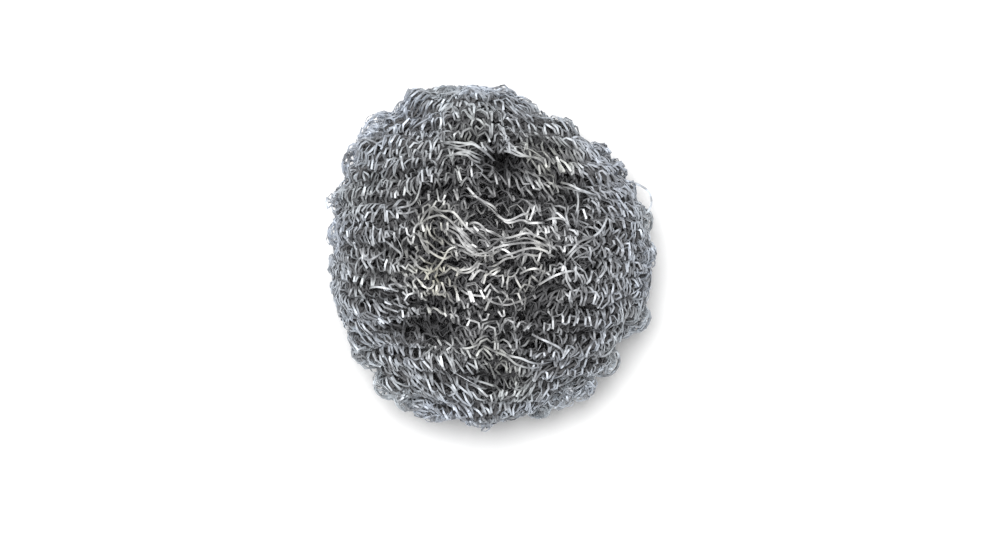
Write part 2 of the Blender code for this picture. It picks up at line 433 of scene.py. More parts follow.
def pit_depth(points):
    """How far the pits push the upper face in."""
    depth = np.zeros(points.shape[:-1])
    for x, y, half_length, half_width, deep, degrees in PITS:
        across = points[..., 0] / MM - x
        up = points[..., 1] / MM - y
        turn = math.radians(degrees)
        long_way = (across * math.cos(turn) + up * math.sin(turn)) / half_length
        short_way = (up * math.cos(turn) - across * math.sin(turn)) / half_width
        reach = np.hypot(long_way, short_way)
        depth = np.maximum(depth, deep * MM * np.exp(-(reach**3)))
    return depth


def fold_groove(phase):
    """How deep a fold is at each place across it: 1 in the grooves on either side, and 0 on its crest."""
    return ((1 + np.cos(math.tau * phase)) / 2) ** FOLD_SHARPNESS


def even_phases(rows_per_fold, pitch, fold_depth, overhang):
    """Places within one fold, evenly spaced along the fabric as it runs up one side and down the other."""
    phase = np.linspace(0, 1, FOLD_SAMPLES)
    depth = fold_depth * fold_groove(phase)
    along = pitch * phase - overhang * np.sin(math.tau * phase)
    travelled = way_travelled(np.hypot(np.diff(along), np.diff(depth)))
    return np.interp(np.arange(rows_per_fold) / rows_per_fold * travelled[-1], travelled, phase)


# A folded sleeve on a fine grid, by row from end to end and by column round it, with the way that it faces
# and how far it lies in its folds, which sets its painted shade
Sleeve = namedtuple("Sleeve", "points facing depth")

# A wire's route, with the way that its broad side faces, and how far it lies in the folds with its painted
# shade added as depth
Wire = namedtuple("Wire", "points facing depth")


def folded_sleeve(fold_count, fold_depth, overhang, share=(1, 1, 1), seed=CHANCE, pits=1):
    """Points of the folded sleeve, and how deep each lies in the folds, pits and tucked-in ends, as a depth
    that sets its painted shade.
    """
    pitch = share[1] * CROWN_LENGTH * PAD_LENGTH / fold_count
    within = even_phases(GRID_ROWS_PER_FOLD, pitch, fold_depth, overhang)
    phase = (np.arange(fold_count)[:, None] + within[None, :]).ravel()
    phase = np.append(phase, fold_count)[:, None]
    along = places_along(phase / fold_count, share)
    turn = (np.arange(GRID_COLUMNS) * math.tau / GRID_COLUMNS)[None, :]
    along = bowed(along, turn)
    plain = plain_form(along, turn, share)
    facing = outward(plain)
    width = narrowing(along, OUTLINE_FULLNESS)
    openness = smooth_step(width / FOLDS_END)

    groove = fold_groove(phase)
    strength = 1 + FADING * smooth_noise(plain, FADING_LENGTH, seed)
    at_rim = RIM_DEPTH + (1 - RIM_DEPTH) * np.abs(facing[..., 2])
    depth = fold_depth * openness * strength * at_rim * groove
    bulge = BULGE * smooth_noise(plain, BULGE_LENGTH, seed + 1)
    bend = BEND * smooth_noise(plain, BEND_LENGTH, seed + 2)
    bend += RIPPLE * smooth_noise(plain, RIPPLE_LENGTH, seed + 3)
    bend *= width**2

    folded = plain + facing * (bulge - depth)[..., None]
    folded[..., 1] += bend - overhang * openness * np.sin(math.tau * phase)
    tucked = END_TUCK * (1 - smooth_step(width / TUCK_WIDTH))
    folded[..., 1] -= np.sign(along) * tucked
    folded = swirled(folded)
    pressed_in = pits * pit_depth(folded) * smooth_step(facing[..., 2] / PIT_FACING)
    folded[..., 2] -= pressed_in
    # Painted shade: a groove that fades shallow is painted darker than its depth alone, and a pit is painted
    # dark only where it is deep
    unfaded = fold_depth * openness * at_rim * groove
    shaded = (depth + unfaded) / 2 + pressed_in**3 / BLACKEST_PIT**2
    return folded, shaded + tucked


def fit_to_pad(points, depth, outer):
    """Brings a folded form to the solid's place and size, as the outer form would come to them."""
    low = outer.min(axis=(0, 1))
    high = outer.max(axis=(0, 1))
    start = PAD_LOW + GRID_INSET - np.array((0, 0, PRESSED_FLAT))
    size = PAD_HIGH - GRID_INSET - start
    fitted = start + (points - low) * size / (high - low)
    return Sleeve(fitted, outward(fitted), depth[..., None])


def rest_on_floor(points, clearance):
    """Presses what reaches below the floor flat upon it, with a soft bend where it meets it."""
    rested = points.copy()
    rested[..., 2] = clearance + FLOOR_SOFTNESS * np.logaddexp(0, points[..., 2] / FLOOR_SOFTNESS)
    return rested


def read_grid(grid, rows, columns):
    """Values of a grid between its rows and columns, which close into a ring."""
    row = np.clip(rows, 0, grid.shape[0] - 1.001)  # just short of the last row, so that there is one above
    column = np.mod(columns, grid.shape[1])
    row_below = np.floor(row).astype(int)
    column_below = np.floor(column).astype(int) % grid.shape[1]
    column_above = (column_below + 1) % grid.shape[1]
    column_share = (column - np.floor(column))[:, None]
    lower, upper = (
        blend(grid[level, column_below], grid[level, column_above], column_share)
        for level in (row_below, row_below + 1)
    )
    return blend(lower, upper, (row - row_below)[:, None])


def wandering(count, spacing, seed, axes=3):
    """Random values along a wire, which change smoothly over each spacing of its points."""
    chance = np.random.default_rng(seed)
    place = np.arange(count) / spacing
    knot = np.floor(place).astype(int)
    values = chance.normal(size=(knot[-1] + 2, axes))
    return blend(values[knot], values[knot + 1], smooth_step(place - knot)[:, None])


def read_sleeve(sleeve, rows, columns):
    """The places, facings and depths of the sleeve between its grid's rows and columns."""
    return Wire(*(read_grid(grid, rows, columns) for grid in sleeve))


def knitted_wire(sleeve, courses, wales, points_per_stitch, first, last, jitter, seed, slant=0, sink=0):
    """The route of the wire through the stitches of a stretch of courses, knitted round and round."""
    count = int((last - first) * wales * points_per_stitch) + 1
    step = np.arange(count)
    turn = step * math.tau / points_per_stitch
    stitch = step / points_per_stitch
    turns_made = stitch / wales
    # Each turn climbs to the next on the underside, so that the stitches line up with the folds above
    climb = smooth_step((turns_made % 1 - LEVEL_SHARE) / CLIMB_SHARE)
    course = first + 0.5 + np.floor(turns_made) + climb
    twitch = wandering(count, TWITCH_STITCHES * points_per_stitch, seed)
    swing = wandering(count, SWING_STITCHES * points_per_stitch, seed + 1)
    last_row = sleeve.points.shape[0] - 1
    last_column = sleeve.points.shape[1]
    rows = course / courses * last_row
    columns = stitch / wales * last_column

    place = read_grid(sleeve.points, rows, columns)
    corner = np.clip(place[:, 0] * place[:, 1] / CORNER_PLACE**2, -1, 1)
    ply_seed = seed % 10  # the same in every band, so that a region's lean runs on from band to band
    lean = slant + REGION_LEAN * smooth_noise(place, REGION_LENGTH, ply_seed + REGION_SEED)
    lean += CORNER_LEAN * corner
    lean += TUFT_LEAN * smooth_noise(place, TUFT_LENGTH, ply_seed + TUFT_SEED)
    pucker = smooth_noise(place, PUCKER_LENGTH, PUCKER_SEED)[:, None]

    grid_step = np.linalg.norm(np.gradient(sleeve.points, axis=0), axis=-1, keepdims=True)
    course_step = read_grid(grid_step, rows, columns)[:, 0] * (last_row / courses)
    half_height = (HALF_HEIGHT + HEIGHT_SWING * swing[:, 0]) * np.minimum(1, LARGEST_COURSE / course_step)
    sway = SWAY + SWAY_SWING * swing[:, 1]
    pinch = PINCH + PINCH_SWING * swing[:, 0]
    head = np.cos(turn) ** 4
    up = half_height * signed_power(np.cos(turn), HEAD_ROUNDNESS)
    across = stitch + sway * np.sin(2 * turn) + pinch * np.sin(turn) + lean * up
    across += ACROSS_TWITCH * twitch[:, 0]
    up = up + UP_TWITCH * twitch[:, 1] + UP_SWING * swing[:, 2]
    out = (LEG_RISE - HEAD_DROP * head + OUT_TWITCH * twitch[:, 2]) * MM - sink

    wire = read_sleeve(sleeve, (course + up) / courses * last_row, across / wales * last_column)
    points = wire.points + wire.facing * (out[:, None] + PUCKER * pucker)
    points += smooth_shift(points, JITTER_LENGTH, JITTER_SEED) * jitter
    # Painted shade on the sunk heads and in the pucker's dips
    shade = HEAD_SHADE * head[:, None] + PUCKER_SHADE * np.clip(-pucker, 0, 1)
    return Wire(points, wire.facing, wire.depth + shade)


def smooth_route(guide, spacing):
    """Points at an even spacing on one smooth curve through a route's own points."""
    guide = np.array(guide)
    before = 2 * guide[0] - guide[1]
    after = 2 * guide[-1] - guide[-2]
    ends = np.vstack((before, guide, after))
    share = np.linspace(0, 1, ROUTE_STEPS, endpoint=False)[:, None]
    stretches = []
    for a, b, c, d in zip(ends, ends[1:], ends[2:], ends[3:]):
        bend = (2 * a - 5 * b + 4 * c - d) * share**2 + (3 * b - a - 3 * c + d) * share**3
        stretches.append(b + ((c - a) * share + bend) / 2)
    dense = np.vstack((*stretches, guide[-1:]))
    travelled = way_travelled(np.linalg.norm(np.diff(dense, axis=0), axis=1))
    wanted = np.linspace(0, travelled[-1], max(4, round(travelled[-1] / spacing)))
    return np.stack([np.interp(wanted, travelled, dense[:, axis]) for axis in range(dense.shape[1])], axis=-1)


def short_reach(half_length, spacing):
    """Places along a short wire, from -1 at its start to 1 at its end."""
    return np.linspace(-1, 1, max(FEWEST_POINTS, round(2 * half_length / spacing)))


def one_way_wire(points, facing, depth=0.0):
    """A wire whose broad side faces one way, and which is as dark as at one depth all along."""
    count = len(points)
    return Wire(points, np.tile(facing, (count, 1)), np.full((count, 1), depth))


def flat_section(width, thickness):
    """The flat-rolled wire's section, as a closed outline to sweep along its route."""
    curve = bpy.data.curves.new("wire_section", "CURVE")
    curve.dimensions = "2D"
    outline = curve.splines.new("POLY")
    outline.points.add(RING_VERTICES - 1)
    for point, (x, y) in zip(outline.points, SECTION_CORNERS):
        point.co = (x * width / 2, y * thickness / 2, 0, 1)
    outline.use_cyclic_u = True
    return add_object("wire_section", curve)


def swept_mesh(name, wires, tilt, section):
    """Sweeps the section along each wire's route. The caps' vertices come first, then the rings."""
    curve = bpy.data.curves.new(name, "CURVE")
    curve.dimensions = "3D"
    curve.twist_mode = "MINIMUM"
    curve.bevel_mode = "OBJECT"
    curve.bevel_object = section
    curve.use_fill_caps = True
    first = 0
    for wire in wires:
        count = len(wire.points)
        spline = curve.splines.new("POLY")
        spline.points.add(count - 1)
        spline.points.foreach_set("co", np.column_stack((wire.points, np.ones(count))).ravel())
        spline.points.foreach_set("tilt", tilt[first : first + count])
        first += count
    guide = add_object(name + "_guide", curve)
    mesh = bpy.data.meshes.new_from_object(guide.evaluated_get(bpy.context.evaluated_depsgraph_get()))
    bpy.data.objects.remove(guide)
    bpy.data.curves.remove(curve)
    return mesh


def tilt_onto_fabric(mesh, wires):
    """The tilt that lays the wire's broad side on the fabric, from how it lies when it is swept untilted."""
    places = np.zeros(3 * len(mesh.vertices))
    mesh.vertices.foreach_get("co", places)
    corners = places.reshape(-1, 3)[CAP_VERTICES * len(wires) :].reshape(-1, RING_VERTICES, 3)
    thin_way = unit(corners[:, 3] - corners[:, 0])
    broad_way = unit(corners[:, 1] - corners[:, 0])
    along = np.cross(thin_way, broad_way)
    facing = np.concatenate([wire.facing for wire in wires])
    wanted = facing - (facing * along).sum(axis=1, keepdims=True) * along
    turned = (np.cross(thin_way, wanted) * along).sum(axis=1)
    return np.arctan2(turned, (thin_way * wanted).sum(axis=1))


def lay_out_wire(mesh, wires):
    """Gives the wire its own map: its length in rows, each with the wire's four sides side by side."""
    layer = mesh.uv_layers[0]
    layer.name = "OFBake"
    corners = np.zeros(len(mesh.loops), int)
    mesh.loops.foreach_get("vertex_index", corners)
    cap_corners = 3 * CAP_FACES * len(wires)
    sides = corners[cap_corners:].reshape(-1, 4) - CAP_VERTICES * len(wires)
    ring = sides // RING_VERTICES
    side = sides % RING_VERTICES
    # The last side closes on the first corner, which the map has once more past the last
    closing = (side.max(axis=1) == RING_VERTICES - 1) & (side.min(axis=1) == 0)
    side = np.where(closing[:, None] & (side == 0), RING_VERTICES, side)
    row = ring.min(axis=1, keepdims=True) // MAP_ROW
    places = np.zeros((len(corners), 2))
    places[cap_corners:, 0] = ((ring - row * MAP_ROW) / MAP_ROW).ravel()
    places[cap_corners:, 1] = ((row + side / (RING_VERTICES + 1)) / (row.max() + 1)).ravel()
    layer.data.foreach_set("uv", places.ravel())


def mark_depth(mesh, wires):
    """Writes on every vertex how deep the wire lies in the folds, with its painted shade added as depth, in
    millimetres. The material paints shade from it.
    """
    ends = [np.repeat(wire.depth[[0, -1], 0], RING_VERTICES) for wire in wires]
    rings = [np.repeat(wire.depth[:, 0], RING_VERTICES) for wire in wires]
    # painted shade: the material darkens the wire by this value
    layer = mesh.attributes.new("fold_depth", "FLOAT", "POINT")
    layer.data.foreach_set("value", np.concatenate(ends + rings) / MM)


def without_doubles(wire):
    """The wire without points that lie on the one before, which a sweep would leave out."""
    moved = np.linalg.norm(np.diff(wire.points, axis=0), axis=1) > SAME_PLACE
    kept = np.concatenate(([True], moved))
    return Wire(*(values[kept] for values in wire))


def sweep_wires(name, wires, wobble, seed):
    """Makes one piece of the wires, with their broad sides on the fabric but for a wobble."""
    settings = wire_settings()
    wires = [without_doubles(wire) for wire in wires]
    section = flat_section(settings.width, settings.thickness)
    count = sum(len(wire.points) for wire in wires)
    untilted = swept_mesh(name, wires, np.zeros(count), section)
    tilt = tilt_onto_fabric(untilted, wires) + wobble * wandering(count, WOBBLE_POINTS, seed, 1)[:, 0]
    bpy.data.meshes.remove(untilted)
    mesh = swept_mesh(name, wires, tilt, section)
    bpy.data.objects.remove(section)
    mesh.name = name
    lay_out_wire(mesh, wires)
    mark_depth(mesh, wires)
    mesh.shade_smooth()
    mesh.set_sharp_from_angle(angle=SHARP_EDGE)
    mesh.materials.clear()
    mesh.materials.append(galvanised_wire())
    piece = add_object(name, mesh)
    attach(piece, BODY)
    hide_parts(PAD_NODE)


def add_node(tree, kind, properties=None, values=None, links=None):
    """Adds a node with its settings, its sockets' values and its links."""
    node = tree.nodes.new(kind)
    for name, value in (properties or {}).items():
        setattr(node, name, value)
    for socket, value in (values or {}).items():
        node.inputs[socket].default_value = value
    for socket, source in (links or {}).items():
        tree.links.new(source, node.inputs[socket])
    return node


def galvanised_wire():
    """Hot-dipped zinc on flat-rolled steel wire. It is pale and softly glossy where it is clean, dull and
    spotted where it has oxidised, and yellower in places and bluer towards the rim. Painted shade darkens
    it in the folds and nearly to black deep inside and in the deepest pits. A fine crystal grain breaks up
    its highlights."""
    settings = wire_settings()
    material = bpy.data.materials.get("hot_dipped_zinc")
    if material:
        return material
    material = bpy.data.materials.new("hot_dipped_zinc")
    material.use_nodes = True
    tree = material.node_tree
    shader = tree.nodes["Principled BSDF"]
    place = add_node(tree, "ShaderNodeTexCoord").outputs["Object"]
    clouds, tinge, spots, grain = (
        add_node(
            tree,
            "ShaderNodeTexNoise",
            values={"Scale": 1 / size, "Detail": detail},
            links={"Vector": place},
        ).outputs["Fac"]
        for size, detail in (CLOUDS, TINGE, SPOTS, GRAIN)
    )
    from_middle = add_node(
        tree,
        "ShaderNodeVectorMath",
        {"operation": "DISTANCE"},
        {1: (0, 0, PAD_THICKNESS / 2)},
        {0: place},
    ).outputs["Value"]
    # painted shade: how deep the wire lies in the folds, with its painted shade added as depth
    depth = add_node(tree, "ShaderNodeAttribute", {"attribute_name": "fold_depth"}).outputs["Fac"]
    warm, cool, spotted, painted_fold_shade, deepest, roughness, added_roughness = (
        add_node(
            tree,
            "ShaderNodeMapRange",
            {"interpolation_type": growth},
            {1: start, 2: end, 3: least, 4: most},
            {0: source},
        ).outputs[0]
        for source, (growth, start, end, least, most) in (
            (tinge, WARM),
            (from_middle, COOL),
            (spots, SPOTTED),
            (depth, PAINTED_FOLD_SHADE),
            (depth, PAINTED_DEEP_SHADE),
            (clouds, ROUGHNESS),
            (depth, ADDED_ROUGHNESS),
        )
    )
    # Each colour is laid over those before it
    below = {}
    for cover, zinc in (
        (clouds, settings.zinc),
        (warm, settings.warm_zinc),
        (cool, settings.cool_zinc),
        (spotted, settings.spots_and_shade_zinc),
        # painted shade: darker the deeper the wire lies in the folds
        (painted_fold_shade, settings.spots_and_shade_zinc),
        # painted shade: near black deep inside and in the deepest pits
        (deepest, settings.deep_shade_zinc),
    ):
        layer = add_node(
            tree,
            "ShaderNodeMix",
            {"data_type": "RGBA"},
            {6: (*settings.dull_zinc, 1), 7: (*zinc, 1)},
            {0: cover, **below},
        )
        below = {6: layer.outputs[2]}
    total_roughness = add_node(
        tree, "ShaderNodeMath", {"operation": "ADD"}, links={0: roughness, 1: added_roughness}
    )
    relief = add_node(
        tree,
        "ShaderNodeBump",
        values={"Strength": GRAIN_STRENGTH, "Distance": GRAIN_HEIGHT},
        links={"Height": grain},
    )
    tree.links.new(layer.outputs[2], shader.inputs["Base Color"])
    tree.links.new(total_roughness.outputs[0], shader.inputs["Roughness"])
    tree.links.new(relief.outputs[0], shader.inputs["Normal"])
    shader.inputs["Metallic"].default_value = METALLIC
    return material


def outer_form():
    """The sleeve's outer layer before it is fitted to the pad."""
    settings = wire_settings()
    return folded_sleeve(FOLD_COUNT, settings.fold_depth, settings.overhang)


def envelope():
    """The pad's outer form over the crests of its folds, where loose wire lies."""
    outer, _ = outer_form()
    points, depth = folded_sleeve(FOLD_COUNT, 0, 0, pits=0)
    return fit_to_pad(points, depth, outer)


class SCOURER_OT_knit_sleeve(bpy.types.Operator):
    """Knits the outer layer of the folded sleeve, in bands from end to end"""

    bl_idname = "scourer.knit_sleeve"
    bl_label = "Knit the sleeve"

    BANDS = ("near_end", "near_edge", "near_folds", "swirl_folds", "far_folds", "far_edge", "far_end")
    POINTS_PER_STITCH = 9
    BARE_COURSES = 1  # left out at each end, where the sleeve is drawn shut
    CLEARANCE = 0.55  # above the floor, in wire widths
    JITTER = 0.45 * MM
    WOBBLE = 0.6  # of the wire's tilt, in radians
    BAND_SEEDS = 10  # between one band and the next
    PLY_SEEDS = 5

    # The sleeve lies double: the slant of each ply's stitches, in stitches to a course, how deep it lies
    #     below the crests and how much painted shade darkens it, as a depth in the folds
    PLIES = ((0.2, 0.0 * MM, 0.0 * MM), (-0.2, 1.2 * MM, 3.7 * MM))

    def execute(self, context):
        settings = wire_settings()
        outer, depth = outer_form()
        sleeve = fit_to_pad(outer, depth, outer)
        around = np.linalg.norm(np.roll(outer, -1, axis=1) - outer, axis=-1).sum(axis=1)
        last_course = settings.courses - self.BARE_COURSES
        edges = np.round(np.linspace(self.BARE_COURSES, last_course, len(self.BANDS) + 1))
        edge_rows = [int(edge / settings.courses * len(around)) for edge in edges]
        for number, band in enumerate(self.BANDS):
            widest = around[edge_rows[number] : edge_rows[number + 1]].max()
            wires = []
            for ply, (slant, sink, painted_ply_shade) in enumerate(self.PLIES):
                wire = knitted_wire(
                    sleeve,
                    settings.courses,
                    round(widest / settings.stitch_width),
                    self.POINTS_PER_STITCH,
                    edges[number],
                    edges[number + 1],
                    self.JITTER,
                    CHANCE + self.BAND_SEEDS * number + self.PLY_SEEDS * ply,
                    slant,
                    sink,
                )
                rested = rest_on_floor(wire.points, self.CLEARANCE * settings.width)
                wires.append(wire._replace(points=rested, depth=wire.depth + painted_ply_shade))
            sweep_wires("knitted_" + band, wires, self.WOBBLE, CHANCE + number)
        return {"FINISHED"}


class SCOURER_OT_knit_inner_turns(bpy.types.Operator):
    """Knits the turns of the sleeve that are packed inside"""

    bl_idname = "scourer.knit_inner_turns"
    bl_label = "Knit the inner turns"

    # Name, share of the pad's width, length and thickness, folds, courses and wales
    TURNS = (
        ("middle_turn", (0.84, 0.84, 0.70), 13, 34, 56),
        ("innermost_turn", (0.62, 0.62, 0.40), 9, 24, 40),
    )
    POINTS_PER_STITCH = 6
    FOLD_SHARE = 0.8  # of the outer layer's depth of fold
    # painted shade: the inner turns are painted as dark as wire this much deeper in the folds
    DEPTH = 6 * MM
    CLEARANCE = 1.5  # above the floor, in wire widths
    JITTER = 0.9 * MM
    WOBBLE = 0.8
    FORM_SEEDS = 50
    KNIT_SEED = 300
    KNIT_SEEDS = 10
    WOBBLE_SEED = 400

    def execute(self, context):
        settings = wire_settings()
        outer, _ = outer_form()
        for number, (name, share, folds, courses, wales) in enumerate(self.TURNS):
            form, depth = folded_sleeve(
                folds,
                self.FOLD_SHARE * settings.fold_depth,
                settings.overhang,
                share,
                CHANCE + self.FORM_SEEDS * (number + 1),
            )
            wire = knitted_wire(
                fit_to_pad(form, depth + self.DEPTH, outer),
                courses,
                wales,
                self.POINTS_PER_STITCH,
                0,
                courses,
                self.JITTER,
                self.KNIT_SEED + self.KNIT_SEEDS * number,
            )
            wire = wire._replace(points=rest_on_floor(wire.points, self.CLEARANCE * settings.width))
            sweep_wires(name, [wire], self.WOBBLE, self.WOBBLE_SEED + number)
        return {"FINISHED"}


class SCOURER_OT_lay_loose_strands(bpy.types.Operator):
    """Lays the loose bundles that cross the upper face and the free loops at the rim"""

    bl_idname = "scourer.lay_loose_strands"
    bl_label = "Lay the loose strands"

    SPACING = 0.5 * MM
    UPWARD = 0.2  # how far up the pad must face to carry a strand
    STRAND_SPREAD = (0.3, 1.0)  # how far a bundle spreads along X and along Y
    PLACE_CHANCE = 0.4  # how far each strand strays from its bundle's places, in mm
    LONGEST_CUT = 0.22  # of a strand's length, at each end
    WANDER = 0.4 * MM
    WANDER_POINTS = 5
    HEIGHT_POINTS = 9  # the points over which the surface below a strand is smoothed
    LIFT_CHANCE = (0.6, 1.3)
    TUCK = 2.2 * MM  # how deep the ends go back into the pad
    SHADE = 1.8 * MM  # strands are as dark as wire that lies this deep in a fold
    STRAND_WOBBLE = 0.7
    LOOP_WOBBLE = 0.3
    WOBBLE_SEED = 500

    def execute(self, context):
        skin = envelope()
        upper = skin.facing[..., 2] > self.UPWARD
        points = skin.points[upper]
        finder = KDTree(len(points))
        for index, (x, y, _) in enumerate(points):
            finder.insert((x, y, 0), index)
        finder.balance()
        chance = np.random.default_rng(CHANCE)
        strands = []
        for count, spread, lift, guide in LOOSE_BUNDLES:
            for number in range(count):
                strands.append(self.strand(points, finder, np.array(guide), number, spread, lift, chance))
        loops = [self.free_loop(*loop) for loop in FREE_LOOPS]
        sweep_wires("loose_strands", strands, self.STRAND_WOBBLE, self.WOBBLE_SEED)
        sweep_wires("free_loops", loops, self.LOOP_WOBBLE, self.WOBBLE_SEED + 1)
        return {"FINISHED"}

    def strand(self, surface, finder, guide, number, spread, lift, chance):
        """One wire of a bundle, which rises over the surface and goes back into it at its ends."""
        offset = spread * (number - 0.5) + chance.normal(scale=self.PLACE_CHANCE, size=guide.shape)
        flat = smooth_route((guide + offset * self.STRAND_SPREAD) * MM, self.SPACING)
        start, end = (chance.uniform(0, self.LONGEST_CUT) * len(flat) for _ in range(2))
        flat = flat[int(start) : len(flat) - int(end)]
        count = len(flat)
        wander = wandering(count + self.WANDER_POINTS - 1, self.WANDER_POINTS, int(chance.integers(1000)), 2)
        wander = [self.smoothed(axis, self.WANDER_POINTS) for axis in wander.T]
        flat += self.WANDER * np.stack(wander, axis=-1)
        heights = np.array([surface[finder.find((x, y, 0))[1]][2] for x, y in flat])
        level = self.smoothed(np.pad(heights, self.HEIGHT_POINTS // 2, mode="edge"), self.HEIGHT_POINTS)
        reach = np.linspace(-1, 1, count)
        rise = lift * MM * (1 - reach**2) * chance.uniform(*self.LIFT_CHANCE) - self.TUCK * reach**6
        return one_way_wire(np.column_stack((flat, level + rise)), UP, self.SHADE)

    def smoothed(self, values, points):
        """The mean of each run of so many values."""
        return np.convolve(values, np.ones(points) / points, mode="valid")

    def free_loop(self, height, guide):
        """One level loop past the rim."""
        flat = smooth_route(np.array(guide) * MM, self.SPACING)
        return one_way_wire(np.column_stack((flat, np.full(len(flat), height * MM))), UP)


class SCOURER_OT_scatter_stray_wires(bpy.types.Operator):
    """Scatters short loose lengths of wire that spring out of the stitches, all round the pad"""

    bl_idname = "scourer.scatter_stray_wires"
    bl_label = "Scatter the stray wires"

    ROWS = (0.05, 0.95)  # the share of the sleeve's length that strays start from
    HEADING = 0.9  # how far they point away from the courses, in radians
    HALF_LENGTH = (2.0 * MM, 5.5 * MM)
    SPACING = 0.6 * MM
    BEND = 0.35  # how far they bend, in half lengths
    LIFT = (0.1 * MM, 1.0 * MM)
    TUCK = 1.5 * MM  # how deep the ends go back into the pad
    WOBBLE = 0.5
    WOBBLE_SEED = 600

    def execute(self, context):
        settings = wire_settings()
        skin = envelope()
        along = np.linalg.norm(np.gradient(skin.points, axis=0), axis=-1)
        around = np.linalg.norm(np.roll(skin.points, -1, axis=1) - skin.points, axis=-1)
        rows, columns = along.shape
        chance = np.random.default_rng(CHANCE + 3)
        wires = []
        while len(wires) < settings.strays:
            row = chance.uniform(*self.ROWS) * rows
            column = chance.uniform(0, columns)
            row_step = along[int(row), int(column)]
            column_step = around[int(row), int(column)]
            # Where the grid's columns crowd together, fewer strays start, so that they are even all over
            if chance.uniform(0, around.max()) > column_step:
                continue
            heading = chance.normal(0, self.HEADING)
            half_length = chance.uniform(*self.HALF_LENGTH)
            reach = short_reach(half_length, self.SPACING)
            bend = chance.normal(0, self.BEND) * (reach**2 - 0.5)
            ahead = half_length * (reach * math.cos(heading) - bend * math.sin(heading))
            aside = half_length * (reach * math.sin(heading) + bend * math.cos(heading))
            wire = read_sleeve(skin, row + aside / row_step, column + ahead / column_step)
            lift = chance.uniform(*self.LIFT) * (1 - reach**2) - self.TUCK * reach**4
            points = rest_on_floor(wire.points + wire.facing * lift[:, None], settings.width / 2)
            wires.append(Wire(points, wire.facing, wire.depth))
        sweep_wires("stray_wires", wires, self.WOBBLE, self.WOBBLE_SEED)
        return {"FINISHED"}


class SCOURER_OT_edge_the_rim(bpy.types.Operator):
    """Stands arcs and lobes of sprung stitches along the rim"""

    bl_idname = "scourer.edge_the_rim"
    bl_label = "Edge the rim"

    RIM_FACING = 0.55  # how far up or down the rim faces at most
    CLIMB = 0.25  # how far the arcs climb along the rim
    HALF_LENGTH = (2.0 * MM, 4.5 * MM)
    SPACING = 0.7 * MM
    RISE = (-0.2 * MM, 0.9 * MM)
    TUCK = 1.2 * MM  # how deep the ends go back into the pad
    WOBBLE = 0.6
    WOBBLE_SEED = 700

    LOBE_WIRES = (1.25, 1.25, 0.15, 0.15)  # how far each one's stitches reach from its middle line, in mm
    LOBE_STITCHES = 9
    STITCH_POINTS = 10
    LOBE_SWEEP = 2.0  # each way from straight out, in radians
    LOBE_TURN = 0.3
    STITCH_SWING = 0.3  # how far the stitches lean forward and back along the lobe, in radians
    PLACE_CHANCE = (0.4, 0.4, 2.0)  # how far each wire strays from its lobe's place, in mm
    RADIUS_CHANCE = (0.8, 1.0)
    COIL_HEIGHT = 0.6  # of its width
    TWITCH = 0.3
    TWITCH_STITCHES = 0.6
    UPWARD = 0.9  # how far the wire's broad side faces up as well as out
    SHADE = 0.6 * MM  # lobes are as dark as wire that lies this deep in a fold

    def execute(self, context):
        skin = envelope()
        level = np.abs(skin.facing[..., 2]) < self.RIM_FACING
        places = skin.points[level]
        facings = skin.facing[level]
        chance = np.random.default_rng(CHANCE + 4)
        wires = []
        for _ in range(wire_settings().rim_arcs):
            index = chance.integers(len(places))
            wires.append(self.arc(places[index], facings[index], chance))
        for lobe in RIM_LOBES:
            wires += [self.lobe_wire(*lobe, stitch_reach, chance) for stitch_reach in self.LOBE_WIRES]
        sweep_wires("rim_arcs", wires, self.WOBBLE, self.WOBBLE_SEED)
        return {"FINISHED"}

    def arc(self, place, facing, chance):
        """A single arc of wire that follows the rim."""
        ahead = unit(np.cross(facing, UP) + (0, 0, chance.normal(0, self.CLIMB)))
        half_length = chance.uniform(*self.HALF_LENGTH)
        reach = short_reach(half_length, self.SPACING)
        drop = half_length**2 / PAD_WIDTH * reach**2
        rise = chance.uniform(*self.RISE) * (1 - reach**2) - drop - self.TUCK * reach**6
        points = place + half_length * np.outer(reach, ahead) + np.outer(rise, facing)
        return one_way_wire(points, facing)

    def lobe_wire(self, x, y, radius, height, stitch_reach, chance):
        """One wire that coils round the edge of a lobe. Sizes are in mm until the end."""
        count = self.LOBE_STITCHES * self.STITCH_POINTS
        stitch = np.arange(count) * math.tau / self.STITCH_POINTS
        twitch = wandering(count, self.TWITCH_STITCHES * self.STITCH_POINTS, int(chance.integers(1000)))
        reach = np.linspace(-self.LOBE_SWEEP, self.LOBE_SWEEP, count) + chance.normal(0, self.LOBE_TURN)
        reach = reach + self.STITCH_SWING * np.sin(2 * stitch)
        angle = math.atan2(y, x) + reach
        ring = np.stack((np.cos(angle), np.sin(angle), np.zeros(count)), axis=-1)
        centre = np.array((x, y, height)) + chance.normal(0, self.PLACE_CHANCE)
        out = (radius - stitch_reach) * chance.uniform(*self.RADIUS_CHANCE) + stitch_reach * np.cos(stitch)
        rise = self.COIL_HEIGHT * stitch_reach * np.sin(stitch + chance.uniform(0, math.tau))
        rise = rise + chance.normal() * np.sin(reach)
        points = centre + out[:, None] * ring + rise[:, None] * UP
        points += self.TWITCH * stitch_reach * twitch
        facing = unit(ring + (0, 0, self.UPWARD))
        return Wire(points * MM, facing, np.full((count, 1), self.SHADE))


